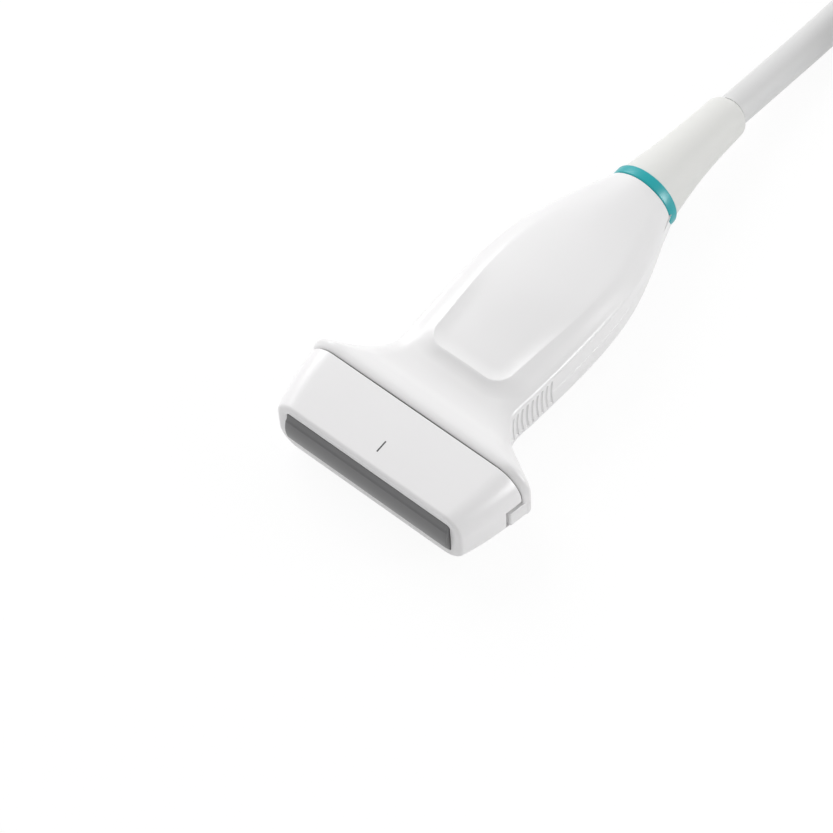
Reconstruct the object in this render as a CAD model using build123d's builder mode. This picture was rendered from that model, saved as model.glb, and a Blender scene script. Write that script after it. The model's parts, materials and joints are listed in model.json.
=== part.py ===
from build123d import *
import math
import os
from typing import NamedTuple

os.makedirs("parts", exist_ok=True)

# Ultrasound transducer probe with a linear array, lying flat on its back. X runs along the probe from
# the lens towards the cable, Y across it and Z up. The origin is on the surface it lies on, under the
# middle of the probe without its cable. A station is a distance along X, measured from the front rim
# of the nose. All sizes are in millimetres.

# Clearances.
fit = 0.1
slip = 0.2
seat = 0.02

# Nose: the cap that holds the lens and the array.
nose_length = 14.7
rim_half_width = 23.8
rim_half_height = 7.0
rim_corner = 4.6
rim_edge = 0.7
flank_station = 7.5
flank_half_width = 26.0
flank_half_height = 7.75
flank_corner = 5.4
seam_half_width = 27.3
seam_half_height = 8.3
seam_corner = 6.3
nose_wall = 1.9
spigot_length = 1.8
spigot_wall = 1.4

# Lens: a crowned bar of silicone with a flange behind the window.
lens_length = 42.0
lens_height = 9.2
lens_corner = 0.7
lens_rise = 0.5
lens_crown_rise = 0.7
lens_band_height = 5.4
lens_seat_depth = 1.6
lens_flange = 0.4
lens_flange_corner = 3.3
lens_flange_thickness = 0.7

# Array: matching layers, the diced bar, its foil, the backing and the frame around them.
aperture = 38.4
elevation = 5.6
matching_outer_thickness = 0.3
matching_inner_thickness = 0.4
piezo_thickness = 0.6
kerf_count = 31
kerf_width = 0.25
kerf_depth = 0.45
foil_thickness = 0.1
foil_length = 7.0
backing_depth = 6.5
frame_half_width = 21.6
frame_half_height = 4.8
frame_corner = 3.4
frame_depth = 8.5

# Flexible circuits, boards and what stands on them.
flex_thickness = 0.2
flex_front_half_width = 17.0
flex_back_half_width = 9.2
flex_narrow_station = 25.0
board_front_station = 29.0
board_back_station = 62.0
board_half_width = 10.2
board_thickness = 1.0
socket_length = 3.2
socket_height = 1.2
socket_half_width = 9.0
spacer_radius = 1.6
screw_radius = 0.7
screw_head_radius = 1.3
screw_head_height = 0.8
screw_end_height = 0.6
spacer_front_station = 34.4
spacer_back_station = 59.8
spacer_y = 8.0
shield_front_station = 36.5
shield_back_station = 56.0
shield_half_width = 7.4
shield_height = 1.7
shield_wall = 0.25
chip_count = 3
chip_size = 5.2
chip_height = 1.0
spreader_thickness = 0.8
spreader_half_width = 6.0

# Housing: two moulded halves that meet on the middle plane.
seam_gap = 0.25
housing_wall = 1.9
bead_station = 16.7
bead_half_width = 27.8
bead_height = 8.9
neck_station = 27.5
neck_half_width = 14.9
grip_station = 48.0
grip_half_width = 15.6
grip_height = 7.9
grip_wall = 6.0
tail_station = 86.8
tail_radius = 7.9
cavity_end_station = 80.0
lip_height = 1.2
lip_front_station = 19.0
lip_back_station = 78.0
rail_inner_y = 9.5
rail_outer_y = 10.9
rail_reach = 5.6
panel_rise = 0.98
panel_front_station = 29.6
panel_full_station = 52.0
panel_fade_station = 76.0
panel_end_station = 82.0
panel_front_half_width = 9.8
panel_half_width = 11.4
panel_fullest_station = 57.0
panel_corner = 4.5
panel_waist_station = 70.0
panel_waist_half_width = 9.8
panel_end_half_width = 4.6
tongue_front_station = 10.3
tongue_back_station = 18.0
tongue_half_height = 2.7
tongue_half_width = 28.1
tongue_thickness = 1.9
tongue_bevel = 0.9
tongue_groove = 0.3
rib_count = 9
rib_pitch = 1.45
rib_start_station = 27.0
rib_height = 9.4
rib_groove = 0.6
rib_depth = 0.45
rib_bow_radius = 22.0

# Tail: the coloured ring, the boot and the end of the cable inside.
ring_width = 2.5
ring_radius = 8.0
ring_edge = 0.35
hub_radius = 5.5
hub_flange_radius = 6.5
hub_flange_thickness = 1.2
hub_flange_station = 81.2
boot_length = 28.7
boot_droop = 7.0
boot_end_round = 1.4
boot_radii = [(0.0, 7.5), (2.7, 7.1), (8.0, 6.35), (14.0, 5.7), (21.0, 5.25), (28.7, 4.95)]
cable_diameter = 7.5
cable_strip_station = 76.0
bundle_radius = 2.6
bundle_half_width = 9.0
bundle_gather = 8.0
ferrule_length = 3.5
ferrule_wall = 0.8
clamp_half_width = 7.0
clamp_half_height = 4.2
clamp_round = 1.2
clamp_screw_y = 5.3

# Cable coil, put away for storage: four turns with three on top of them, and two hook-and-loop ties.
coil_x = 151.0
coil_y = -25.0
coil_radius = 37.5
lower_turns = (-3, -1, 1, 3)
upper_turns = (-2, 0, 2)
tie_thickness = 1.2
tie_width = 16.0
tie_angles = (45.0, -135.0)

# Routes of the free cable, whose stiff bends were laid by hand: out of the boot to the floor, up to the
# outside of the coil, and from the coil's top to the connector.
cable_lead_points = [
    (59.5, 0.0, 7.15),
    (76.0, -0.4, 5.1),
    (97.0, -1.0, 3.75),
    (120.0, 10.4, 3.9),
    (138.0, 20.9, 4.4),
    (151.0, 23.75, 4.95),
]
cable_tail_points = [
    (151.0, -70.0, 18.95),
    (121.5, -70.0, 19.1),
    (100.7, -49.2, 20.8),
    (100.7, -19.8, 24.2),
    (121.5, 1.0, 27.4),
    (147.7, 1.0, 28.4),
]

# Connector at the cable's far end.
connector_boot_x = 148.0
connector_boot_length = 16.0
connector_boot_radius = 5.2
connector_boot_back_radius = 7.0
connector_neck_radius = 5.5
connector_boot_flange = 1.5
connector_cable_length = 26.0
connector_length = 46.0
connector_half_width = 20.0
connector_height = 24.0
connector_wall = 2.2
connector_corner = 6.0
connector_edge = 1.5
connector_y = 1.0
shroud_length = 7.0
shroud_half_width = 13.2
shroud_half_height = 8.0
shroud_wall = 1.4
shroud_corner = 2.4
shroud_flange_thickness = 1.8
contact_recess = 2.5
contact_columns = 12
contact_rows = 3
contact_pitch = 2.0
contact_size = 0.9
contact_length = 1.6
connector_board_length = 28.0
connector_board_half_width = 11.5
connector_boss_radius = 3.4
connector_screw_radius = 1.4
connector_screw_head = 2.6
connector_screw_head_height = 2.0
connector_screw_seat = 3.0
connector_screw_end = 7.0
connector_screw_y = 15.5
connector_screw_inset = 9.0

cable_radius = cable_diameter / 2
stack_step = math.sqrt(3) * cable_radius
connector_base = 2 * tie_thickness + 2 * cable_radius + stack_step + seat
connector_axis_height = connector_base + connector_height / 2
axis_height = max(bead_height, grip_height + panel_rise)
ring_end_station = tail_station + ring_width
boot_bend_radius = boot_length / math.radians(boot_droop)
boot_reach = boot_bend_radius * math.sin(math.radians(boot_droop))
boot_end_station = ring_end_station + boot_reach
boot_end_radius = boot_radii[-1][1]
boot_tip = (boot_end_radius - boot_end_round) * math.sin(math.radians(boot_droop))
lens_front = lens_rise + lens_crown_rise
front_rim_x = lens_front - (lens_front + boot_end_station + boot_tip) / 2

flange_station = lens_seat_depth
outer_matching_station = flange_station + lens_flange_thickness
inner_matching_station = outer_matching_station + matching_outer_thickness
foil_station = inner_matching_station + matching_inner_thickness
piezo_station = foil_station + foil_thickness
flex_station = piezo_station + piezo_thickness
backing_station = flex_station + flex_thickness
backing_end_station = backing_station + backing_depth
stack_half_height = elevation / 2
board_top = stack_half_height - foil_thickness - flex_thickness
board_bottom = board_top - board_thickness
board_middle_station = (board_front_station + board_back_station) / 2
clamp_end_station = cavity_end_station - fit
spigot_inset = housing_wall + slip
spigot_cavity_inset = spigot_inset + spigot_wall
shoulder = seam_half_width - seam_corner
seam_end = nose_length + seam_gap


class Section(NamedTuple):
    """A quarter of one cross-section of the housing, which repeats on both sides and below."""

    station: float
    half_width: float
    wall: float  # half height of the side wall, up to the crease
    shoulder: float  # half width at which the shoulder meets the crown
    shoulder_height: float
    crown: float  # height of the middle
    lean: float  # first handle of the shoulder, inwards
    rise: float  # first handle of the shoulder, upwards


HOUSING = [
    Section(seam_end, seam_half_width, 2.0, shoulder, seam_half_height - 0.1, seam_half_height, 0.0, 3.4),
    Section(bead_station, bead_half_width, 2.4, shoulder + 0.5, bead_height - 0.1, bead_height, 0.0, 3.6),
    Section(19.0, 24.3, 3.4, 17.0, 8.0, 8.2, 0.1, 2.6),
    Section(21.6, 19.4, 4.6, 13.2, 7.0, 7.2, 0.6, 1.4),
    Section(24.3, 16.4, 5.4, 11.6, 6.5, 6.8, 1.4, 0.8),
    Section(neck_station, neck_half_width, 5.8, 10.6, 6.5, 7.0, 1.8, 0.5),
    Section(34.0, neck_half_width + 0.25, grip_wall, 10.2, 6.8, grip_height - 0.5, 2.0, 0.4),
    Section(grip_station, grip_half_width, grip_wall, 10.4, 7.1, grip_height, 2.0, 0.5),
    Section(58.0, grip_half_width - 0.2, grip_wall - 0.4, 10.4, 7.3, grip_height + 0.1, 1.8, 0.7),
    Section(66.0, 14.5, 4.4, 9.6, 7.2, grip_height + 0.1, 1.2, 1.1),
    Section(73.0, 12.9, 2.9, 8.2, 7.1, grip_height + 0.1, 0.5, 1.9),
    Section(80.0, 10.6, 1.4, 6.4, 7.0, grip_height + 0.2, 0.1, 2.9),
    Section(tail_station, tail_radius, 0.5, 4.5, 6.5, tail_radius, 0.0, 3.1),
]


def cross_plane(station):
    """Plane across the probe at a station: its X is the world's Y, its Y is up, and it faces the cable."""
    return Plane(origin=(front_rim_x + station, 0, axis_height), x_dir=(0, 1, 0), z_dir=(1, 0, 0))


def side_plane(y):
    """Upright plane along the probe at a distance to its left, facing right, with X as stations."""
    return Plane(origin=(front_rim_x, y, axis_height), x_dir=(1, 0, 0), z_dir=(0, -1, 0))


def plan_plane(height=0.0):
    """Level plane at a height above the probe's axis, with X as stations."""
    return Plane(origin=(front_rim_x, 0, axis_height + height), x_dir=(1, 0, 0), z_dir=(0, 0, 1))


def bar(first, last, half_width, half_height, corner=0.0, middle=(0.0, 0.0)):
    """Bar along the probe between two stations, centred on the axis or on a point of the cross plane."""
    with BuildPart() as made:
        with BuildSketch(cross_plane(first)):
            with Locations(middle):
                if corner > 0:
                    RectangleRounded(2 * half_width, 2 * half_height, corner)
                else:
                    Rectangle(2 * half_width, 2 * half_height)
        extrude(amount=last - first)
    return made.part


def housing_body(inset=0.0, panel=0.0, overrun=0.0):
    """Loft through the housing's sections, drawn in by inset, raised by panel and run over at both ends."""
    with BuildPart() as body:
        for number, s in enumerate(HOUSING):
            shift = -overrun if number == 0 else overrun if number == len(HOUSING) - 1 else 0.0
            fade = min(1.0, (panel_fade_station - s.station) / (panel_fade_station - panel_full_station))
            lift = panel * fade - inset
            w, c = s.half_width - inset, s.shoulder - 0.35 * inset
            zc, t = s.shoulder_height + lift, s.crown + lift
            h = min(s.wall, zc - 0.4)
            reach = 0.45 * (w - c)
            fall = reach * (t - zc) / (c / 2)
            with BuildSketch(cross_plane(s.station + shift)):
                with BuildLine():
                    Line((w, 0), (w, h))
                    Bezier((w, h), (w - s.lean, h + min(s.rise, zc - h)), (c + reach, zc - fall), (c, zc))
                    Bezier((c, zc), (c / 2, t), (0, t))
                    mirror(about=Plane.YZ)
                    mirror(about=Plane.XZ)
                make_face()
        loft()
    return body.part


def nose_body(front_inset, back_inset, front_station):
    """Loft of the nose between a station near its front and the seam, drawn in from its outside."""
    part_way = (flank_station - front_station) / (nose_length - front_station)
    middle_inset = front_inset + part_way * (back_inset - front_inset)
    with BuildPart() as body:
        for station, w, h, r, inset in (
            (front_station, rim_half_width, rim_half_height, rim_corner, front_inset),
            (flank_station, flank_half_width, flank_half_height, flank_corner, middle_inset),
            (nose_length, seam_half_width, seam_half_height, seam_corner, back_inset),
        ):
            with BuildSketch(cross_plane(station)):
                RectangleRounded(2 * (w - inset), 2 * (h - inset), r - 0.7 * inset)
        loft()
    return body.part


def make_nose():
    """The nose shell, the lens with its flange, and the gasket in the seam."""
    cavity = (seam_half_width - spigot_cavity_inset, seam_half_height - spigot_cavity_inset)
    cavity_corner = seam_corner - 0.7 * spigot_cavity_inset
    with BuildPart() as nose_shell:
        add(nose_body(0.0, 0.0, 0.0))
        fillet(nose_shell.edges().group_by(Axis.X)[0], rim_edge)
        spigot = (seam_half_width - spigot_inset, seam_half_height - spigot_inset)
        add(bar(nose_length, nose_length + spigot_length, *spigot, seam_corner - 0.7 * spigot_inset))
        add(nose_body(nose_wall, spigot_cavity_inset, lens_seat_depth), mode=Mode.SUBTRACT)
        add(bar(nose_length, nose_length + spigot_length, *cavity, cavity_corner), mode=Mode.SUBTRACT)
        window = bar(0, lens_seat_depth, lens_length / 2 + fit, lens_height / 2 + fit, lens_corner + fit)
        add(window, mode=Mode.SUBTRACT)
        recess_floor = tongue_half_width - tongue_thickness - fit
        recess_depth = seam_half_width - recess_floor + 1
        recess = (tongue_front_station - tongue_groove, nose_length, recess_depth / 2)
        for side in (-1, 1):
            middle = (side * (recess_floor + recess_depth / 2), 0)
            add(bar(*recess, tongue_half_height + tongue_groove, 0, middle), mode=Mode.SUBTRACT)
    nose_shell.part.label = "nose_shell"
    export_step(nose_shell.part, "parts/nose_shell.step")

    with BuildPart() as acoustic_lens:
        with BuildSketch(side_plane(lens_length / 2)):
            with BuildLine():
                band, edge = lens_band_height / 2, lens_height / 2
                crown = RadiusArc(
                    (-lens_front, 0), (-lens_rise - lens_crown_rise / 2, band), band**2 / lens_crown_rise
                )
                Polyline(
                    crown @ 1,
                    (-lens_rise, band + lens_crown_rise / 2),
                    (0, edge),
                    (lens_seat_depth, edge),
                    (lens_seat_depth, 0),
                )
                mirror(about=Plane.XZ)
            make_face()
        extrude(amount=lens_length)
        outline = bar(-lens_front - 1, lens_seat_depth, lens_length / 2, lens_height / 2, lens_corner)
        add(outline, mode=Mode.INTERSECT)
        flange = (lens_length / 2 + lens_flange, lens_height / 2 + lens_flange, lens_flange_corner)
        add(bar(flange_station, outer_matching_station, *flange))
    acoustic_lens.part.label = "acoustic_lens"
    export_step(acoustic_lens.part, "parts/acoustic_lens.step")

    with BuildPart() as nose_gasket:
        add(bar(nose_length, seam_end, seam_half_width - 0.3, seam_half_height - 0.3, seam_corner - 0.2))
        for side in (-1, 1):
            middle = (side * (seam_half_width + tongue_half_width) / 2, 0)
            slot = (tongue_half_width - seam_half_width) / 2 + tongue_thickness
            add(
                bar(nose_length, seam_end, slot, tongue_half_height + tongue_groove, 0, middle),
                mode=Mode.SUBTRACT,
            )
        opening = (seam_half_width - spigot_inset + fit, seam_half_height - spigot_inset + fit)
        add(
            bar(nose_length, seam_end, *opening, seam_corner - 0.7 * spigot_inset + fit),
            mode=Mode.SUBTRACT,
        )
    nose_gasket.part.label = "nose_gasket"
    export_step(nose_gasket.part, "parts/nose_gasket.step")


def make_array():
    """What lies behind the lens: two matching layers, the diced bar, its foil, the backing and a frame."""
    layers = (
        ("matching_layer_outer", outer_matching_station, inner_matching_station),
        ("matching_layer_inner", inner_matching_station, foil_station),
    )
    for name, first, last in layers:
        with BuildPart() as matching_layer:
            add(bar(first, last, aperture / 2, stack_half_height))
        matching_layer.part.label = name
        export_step(matching_layer.part, f"parts/{name}.step")

    with BuildPart() as piezo_array:
        add(bar(piezo_station, flex_station, aperture / 2, stack_half_height - foil_thickness))
        with BuildSketch(cross_plane(piezo_station)):
            with GridLocations(aperture / (kerf_count + 1), 1, kerf_count, 1):
                Rectangle(kerf_width, elevation)
        extrude(amount=kerf_depth, mode=Mode.SUBTRACT)
    piezo_array.part.label = "piezo_array"
    export_step(piezo_array.part, "parts/piezo_array.step")

    with BuildPart() as ground_foil:
        add(bar(foil_station, piezo_station, aperture / 2, stack_half_height))
        for side in (-1, 1):
            middle = (0, side * (stack_half_height - foil_thickness / 2))
            leg = (aperture / 2, foil_thickness / 2, 0, middle)
            add(bar(piezo_station, piezo_station + foil_length, *leg))
    ground_foil.part.label = "ground_foil"
    export_step(ground_foil.part, "parts/ground_foil.step")

    with BuildPart() as backing_block:
        add(bar(backing_station, backing_end_station, aperture / 2, board_top))
    backing_block.part.label = "backing_block"
    export_step(backing_block.part, "parts/backing_block.step")

    with BuildPart() as array_frame:
        frame_end = outer_matching_station + frame_depth
        add(bar(outer_matching_station, frame_end, frame_half_width, frame_half_height, frame_corner))
        opening = bar(outer_matching_station, frame_end, aperture / 2 + fit, stack_half_height + fit)
        add(opening, mode=Mode.SUBTRACT)
    array_frame.part.label = "array_frame"
    export_step(array_frame.part, "parts/array_frame.step")

    for name, side in (("flex_circuit_upper", 1), ("flex_circuit_lower", -1)):
        with BuildPart() as flex_circuit:
            front_height = board_top + flex_thickness
            middle = (0, side * front_height / 2)
            add(bar(flex_station, backing_station, aperture / 2, front_height / 2, 0, middle))
            with BuildSketch(plan_plane(side * board_top)):
                with BuildLine():
                    Polyline(
                        (flex_station, 0),
                        (flex_station, aperture / 2),
                        (backing_end_station, aperture / 2),
                        (outer_matching_station + frame_depth, flex_front_half_width),
                        (nose_length, flex_front_half_width),
                        (flex_narrow_station, flex_back_half_width),
                        (board_front_station + socket_length, flex_back_half_width),
                        (board_front_station + socket_length, 0),
                    )
                    mirror(about=Plane.XZ)
                make_face()
            extrude(amount=side * flex_thickness)
        flex_circuit.part.label = name
        export_step(flex_circuit.part, f"parts/{name}.step")


def spacer_places():
    """The four places, in the plan plane, where spacers and screws join the two boards."""
    stations = (spacer_front_station, spacer_back_station)
    return [(station, side * spacer_y) for station in stations for side in (-1, 1)]


def make_electronics():
    """The two boards with their sockets, chips, spacers, screws and shields, and the heat spreader."""
    for name, side in (("board_upper", 1), ("board_lower", -1)):
        with BuildPart() as board:
            with BuildSketch(plan_plane(side * board_top)):
                with Locations((board_middle_station, 0)):
                    RectangleRounded(board_back_station - board_front_station, 2 * board_half_width, 1.0)
                with Locations(spacer_places()):
                    Circle(screw_radius + fit, mode=Mode.SUBTRACT)
            extrude(amount=-side * board_thickness)
        board.part.label = name
        export_step(board.part, f"parts/{name}.step")

    with BuildPart() as board_spacers:
        with BuildSketch(plan_plane(-board_bottom)):
            with Locations(spacer_places()):
                Circle(spacer_radius)
                Circle(screw_radius + fit, mode=Mode.SUBTRACT)
        extrude(amount=2 * board_bottom)
    board_spacers.part.label = "board_spacers"
    export_step(board_spacers.part, "parts/board_spacers.step")

    with BuildPart() as board_screws:
        for side in (-1, 1):
            with BuildSketch(plan_plane(side * board_top)):
                with Locations(spacer_places()):
                    Circle(screw_radius)
            extrude(amount=-side * (board_top - screw_end_height))
            with BuildSketch(plan_plane(side * board_top)):
                with Locations(spacer_places()):
                    Circle(screw_head_radius)
            extrude(amount=side * screw_head_height)
    board_screws.part.label = "board_screws"
    export_step(board_screws.part, "parts/board_screws.step")

    with BuildPart() as flex_sockets:
        for side in (-1, 1):
            with BuildSketch(plan_plane(side * (board_top + flex_thickness))):
                with Locations((board_front_station + socket_length / 2, 0)):
                    Rectangle(socket_length, 2 * socket_half_width)
            extrude(amount=side * socket_height)
    flex_sockets.part.label = "flex_sockets"
    export_step(flex_sockets.part, "parts/flex_sockets.step")

    shield_length = shield_back_station - shield_front_station
    shield_middle_station = (shield_front_station + shield_back_station) / 2
    with BuildPart() as board_chips:
        for side in (-1, 1):
            with BuildSketch(plan_plane(side * board_top)):
                with Locations((shield_middle_station, 0)):
                    with GridLocations(shield_length / chip_count, 1, chip_count, 1):
                        Rectangle(chip_size, chip_size)
            extrude(amount=side * chip_height)
    board_chips.part.label = "board_chips"
    export_step(board_chips.part, "parts/board_chips.step")

    for name, side in (("shield_upper", 1), ("shield_lower", -1)):
        with BuildPart() as shield:
            with BuildSketch(plan_plane(side * board_top)):
                with Locations((shield_middle_station, 0)):
                    Rectangle(shield_length, 2 * shield_half_width)
            extrude(amount=side * shield_height)
            with BuildSketch(plan_plane(side * board_top)):
                with Locations((shield_middle_station, 0)):
                    Rectangle(shield_length - 2 * shield_wall, 2 * (shield_half_width - shield_wall))
            extrude(amount=side * (shield_height - shield_wall), mode=Mode.SUBTRACT)
        shield.part.label = name
        export_step(shield.part, f"parts/{name}.step")

    with BuildPart() as heat_spreader:
        add(bar(backing_end_station, shield_back_station, spreader_half_width, spreader_thickness / 2))
    heat_spreader.part.label = "heat_spreader"
    export_step(heat_spreader.part, "parts/heat_spreader.step")


def cable_core(first, radius):
    """A round bar along the cable's path in the probe, from a station to the end of the boot."""
    with BuildPart() as core:
        with BuildLine(side_plane(0)) as path:
            Line((first, 0), (ring_end_station, 0))
            JernArc((ring_end_station, 0), (1, 0), boot_bend_radius, -boot_droop)
        with BuildSketch(cross_plane(first)):
            Circle(radius)
        sweep(path=path.line)
    return core.part


def make_cable_end():
    """The gathered wires behind the boards, the cable's end in the probe, its ferrule and its clamp."""
    gathered_station = board_back_station + bundle_gather
    with BuildPart() as wire_bundle:
        with BuildSketch(cross_plane(board_back_station)):
            RectangleRounded(2 * bundle_half_width, 2 * board_top, 1.0)
        with BuildSketch(cross_plane(gathered_station)):
            RectangleRounded(2 * bundle_radius, 2 * bundle_radius, 0.9 * bundle_radius)
        loft()
        with BuildSketch(cross_plane(gathered_station)):
            Circle(bundle_radius)
        extrude(amount=cable_strip_station - gathered_station)
    wire_bundle.part.label = "wire_bundle"
    export_step(wire_bundle.part, "parts/wire_bundle.step")

    with BuildPart() as cable_ferrule:
        with BuildSketch(cross_plane(cable_strip_station - ferrule_length)):
            Circle(bundle_radius + fit + ferrule_wall)
            Circle(bundle_radius + fit, mode=Mode.SUBTRACT)
        extrude(amount=ferrule_length)
    cable_ferrule.part.label = "cable_ferrule"
    export_step(cable_ferrule.part, "parts/cable_ferrule.step")

    with BuildPart() as cable_end:
        add(cable_core(cable_strip_station, cable_radius))
    cable_end.part.label = "cable_end"
    export_step(cable_end.part, "parts/cable_end.step")

    clamp_middle_station = (cable_strip_station + clamp_end_station) / 2
    screw_places = [(clamp_middle_station, side * clamp_screw_y) for side in (-1, 1)]
    head_seat = clamp_half_height - screw_head_height
    for name, side in (("cable_clamp_upper", 1), ("cable_clamp_lower", -1)):
        with BuildPart() as cable_clamp:
            half = (clamp_half_width, clamp_half_height / 2, 0, (0, side * clamp_half_height / 2))
            add(bar(cable_strip_station, clamp_end_station, *half))
            outside = cable_clamp.edges().filter_by(Axis.X).sort_by(Axis.Z)
            fillet(outside[-2:] if side > 0 else outside[:2], clamp_round)
            add(cable_core(cable_strip_station, cable_radius + seat), mode=Mode.SUBTRACT)
            with BuildSketch(plan_plane()):
                with Locations(screw_places):
                    Circle(screw_radius + fit)
            extrude(amount=side * clamp_half_height, mode=Mode.SUBTRACT)
            if side > 0:
                with BuildSketch(plan_plane(head_seat)):
                    with Locations(screw_places):
                        Circle(screw_head_radius + fit)
                extrude(amount=screw_head_height, mode=Mode.SUBTRACT)
        cable_clamp.part.label = name
        export_step(cable_clamp.part, f"parts/{name}.step")

    with BuildPart() as clamp_screws:
        with BuildSketch(plan_plane(-head_seat)):
            with Locations(screw_places):
                Circle(screw_radius)
        extrude(amount=2 * head_seat)
        with BuildSketch(plan_plane(head_seat)):
            with Locations(screw_places):
                Circle(screw_head_radius)
        extrude(amount=screw_head_height)
    clamp_screws.part.label = "clamp_screws"
    export_step(clamp_screws.part, "parts/clamp_screws.step")


def boot_plane(distance):
    """Plane across the boot at a distance along its bent axis."""
    turn = distance / boot_bend_radius
    along = ring_end_station + boot_bend_radius * math.sin(turn)
    down = boot_bend_radius * (1 - math.cos(turn))
    return Plane(
        origin=(front_rim_x + along, 0, axis_height - down),
        x_dir=(0, 1, 0),
        z_dir=(math.cos(turn), 0, -math.sin(turn)),
    )


def make_tail():
    """The coloured ring and the strain-relief boot, whose flange is caught in the housing's tail."""
    with BuildPart() as accent_ring:
        with BuildSketch(cross_plane(tail_station)):
            Circle(ring_radius)
        extrude(amount=ring_width)
        fillet(accent_ring.edges(), ring_edge)
        with BuildSketch(cross_plane(tail_station)):
            Circle(hub_radius + fit)
        extrude(amount=ring_width, mode=Mode.SUBTRACT)
    accent_ring.part.label = "accent_ring"
    export_step(accent_ring.part, "parts/accent_ring.step")

    with BuildPart() as strain_relief_boot:
        for distance, radius in boot_radii:
            with BuildSketch(boot_plane(distance)):
                Circle(radius)
        loft()
        fillet(strain_relief_boot.edges().sort_by(Axis.X)[-1], boot_end_round)
        with BuildSketch(cross_plane(hub_flange_station)):
            Circle(hub_radius)
        extrude(amount=ring_end_station - hub_flange_station)
        with BuildSketch(cross_plane(hub_flange_station)):
            Circle(hub_flange_radius)
        extrude(amount=hub_flange_thickness)
        add(cable_core(hub_flange_station - 1, cable_radius + seat), mode=Mode.SUBTRACT)
    strain_relief_boot.part.label = "strain_relief_boot"
    export_step(strain_relief_boot.part, "parts/strain_relief_boot.step")


def panel_pads():
    """The raised thumb panels above and below: a fuller housing cut to the panel's outline."""
    front, width, corner = panel_front_station, panel_front_half_width, panel_corner
    with BuildPart() as pads:
        add(housing_body(0.0, panel_rise))
        with BuildSketch(plan_plane(-axis_height - 1)):
            with BuildLine():
                Line((front, 0), (front, width - corner))
                TangentArc((front, width - corner), (front + corner, width), tangent=(0, 1))
                Spline(
                    (front + corner, width),
                    (panel_fullest_station, panel_half_width),
                    (panel_waist_station, panel_waist_half_width),
                    (panel_end_station, panel_end_half_width),
                    tangents=((1, 0), (1, -0.5)),
                )
                Line((panel_end_station, panel_end_half_width), (panel_end_station, 0))
                mirror(about=Plane.XZ)
            make_face()
        extrude(amount=2 * axis_height + 2, mode=Mode.INTERSECT)
        add(housing_body(housing_wall / 2), mode=Mode.SUBTRACT)
    return pads.part


def side_tongues():
    """The two flat tongues that reach forward from the housing over the sides of the nose."""
    root, outside = tongue_half_width - tongue_thickness, tongue_half_width
    with BuildPart() as tongues:
        with BuildSketch(plan_plane(-tongue_half_height)):
            with BuildLine():
                Polyline(
                    (tongue_front_station, root),
                    (tongue_front_station, outside - tongue_bevel),
                    (tongue_front_station + tongue_bevel, outside - 0.2 * tongue_bevel),
                    (nose_length, outside),
                    (bead_station, outside),
                    (tongue_back_station, root),
                    close=True,
                )
            make_face()
        extrude(amount=2 * tongue_half_height)
        mirror(about=Plane.XZ)
    return tongues.part


def grip_grooves():
    """The bowed grooves, with grip ribs between them, down to a set depth in both side walls."""
    reach = grip_half_width + rib_depth
    half = rib_height / 2
    bow = rib_bow_radius - math.sqrt(rib_bow_radius**2 - half**2)
    with BuildPart() as grooves:
        with BuildSketch(side_plane(reach)):
            for number in range(rib_count):
                station = rib_start_station + number * rib_pitch
                with BuildLine(mode=Mode.PRIVATE) as centre:
                    ThreePointArc((station + bow, -half), (station, 0), (station + bow, half))
                SlotArc(centre.edges()[0], rib_groove)
        extrude(amount=2 * reach)
        add(housing_body(rib_depth), mode=Mode.SUBTRACT)
    return grooves.part


def lip_band(inset, height):
    """The housing's inside, drawn in by inset, from the joint between the halves up to a height."""
    with BuildPart() as band:
        add(housing_body(inset))
        slab = (grip_half_width + housing_wall + 12, height / 2, 0, (0, height / 2))
        add(bar(lip_front_station, lip_back_station, *slab), mode=Mode.INTERSECT)
    return band.part


def housing_cavity():
    """The space inside the housing: its body drawn in by the wall, ending short of the tail."""
    with BuildPart() as cavity:
        add(housing_body(housing_wall, 0.0, 1.0))
        beyond = 2 * axis_height + tongue_half_width
        add(bar(cavity_end_station, tail_station + beyond, beyond, beyond), mode=Mode.SUBTRACT)
    return cavity.part


def make_housing():
    """The two moulded halves of the housing, with panels, tongues, ribs, rails and an interlocking lip."""
    cavity = housing_cavity()
    with BuildPart() as tongues:
        add(side_tongues())
        add(cavity, mode=Mode.SUBTRACT)
    with BuildPart() as shell:
        add(housing_body())
        add(cavity, mode=Mode.SUBTRACT)
        add(panel_pads())
        add(tongues.part)
        add(grip_grooves(), mode=Mode.SUBTRACT)
        with BuildSketch(cross_plane(cavity_end_station)):
            Circle(hub_radius + fit)
        extrude(amount=tail_station - cavity_end_station, mode=Mode.SUBTRACT)
        with BuildSketch(cross_plane(hub_flange_station - fit)):
            Circle(hub_flange_radius + fit)
        extrude(amount=hub_flange_thickness + 2 * fit, mode=Mode.SUBTRACT)

    with BuildPart() as lip:
        add(lip_band(housing_wall / 2 + fit, lip_height))
        add(cavity, mode=Mode.SUBTRACT)
    rebate = lip_band(housing_wall / 2, lip_height + fit)
    rail_height = rail_reach - board_top - fit
    for name, side in (("housing_upper", 1), ("housing_lower", -1)):
        with BuildPart() as housing_half:
            add(shell.part)
            split(bisect_by=plan_plane(), keep=Keep.TOP if side > 0 else Keep.BOTTOM)
            for y in (-1, 1):
                middle = (y * (rail_inner_y + rail_outer_y) / 2, side * (board_top + fit + rail_height / 2))
                rail = ((rail_outer_y - rail_inner_y) / 2, rail_height / 2, 0, middle)
                add(bar(spacer_front_station, spacer_back_station, *rail))
            if side > 0:
                add(rebate, mode=Mode.SUBTRACT)
            else:
                add(lip.part)
        housing_half.part.label = name
        export_step(housing_half.part, f"parts/{name}.step")


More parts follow.
